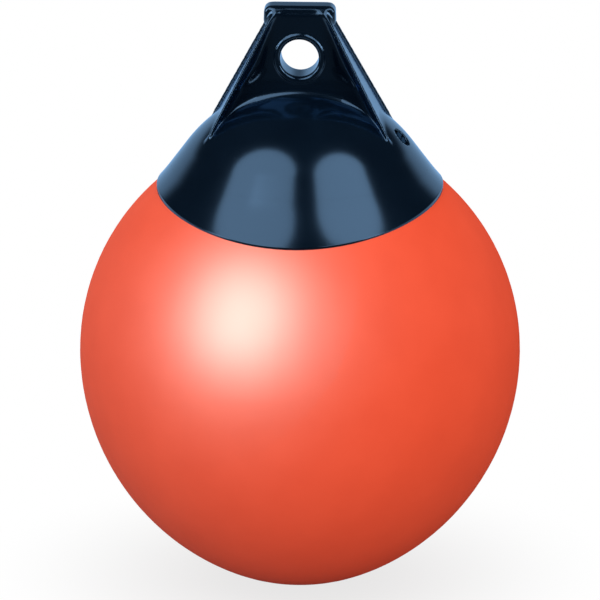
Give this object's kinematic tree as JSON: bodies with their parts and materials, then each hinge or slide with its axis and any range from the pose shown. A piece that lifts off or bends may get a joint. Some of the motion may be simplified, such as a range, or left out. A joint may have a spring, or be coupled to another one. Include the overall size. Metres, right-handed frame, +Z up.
{
  "type": "inflatable marker buoy",
  "caption": "Inflatable marker buoy: an orange-red vinyl ball with a dark blue moulded rope hold on top, a rope eye between four ridges, and an air valve with a screw plug.",
  "frame": {"origin": "on the ball's axis, at the waterline of the unloaded buoy", "axes": "+Z up along the ball's axis to the rope eye, +X along the width of the rope hold towards the valve side, Y along the bore of the rope eye with -Y the face that the picture shows"},
  "size_m": [0.2899, 0.29, 0.393],
  "materials": {
    "vinyl_red": "smooth inflated vinyl, satin gloss",
    "vinyl_blue": "moulded vinyl, high gloss",
    "seat_plastic": "moulded plastic",
    "washer_rubber": "plain",
    "plug_plastic": "moulded plastic"
  },
  "bodies": {
    "buoy": {"ball": "vinyl_red", "rope_hold": "vinyl_blue", "valve_seat": "seat_plastic"},
    "washer": {"valve_washer": "washer_rubber"},
    "plug": {"valve_plug": "plug_plastic"}
  },
  "joints": [
    {"name": "plug_lift", "type": "slide", "parent": "buoy", "child": "washer", "axis": [0.7994, -0.0939, 0.5934], "range_m": [0, 0.015]},
    {"name": "plug_turn", "type": "hinge", "parent": "washer", "child": "plug", "pos_m": [0.06765, -0.00795, 0.24066], "axis": [0.7994, -0.0939, 0.5934], "range_deg": [0, 1080]}
  ]
}
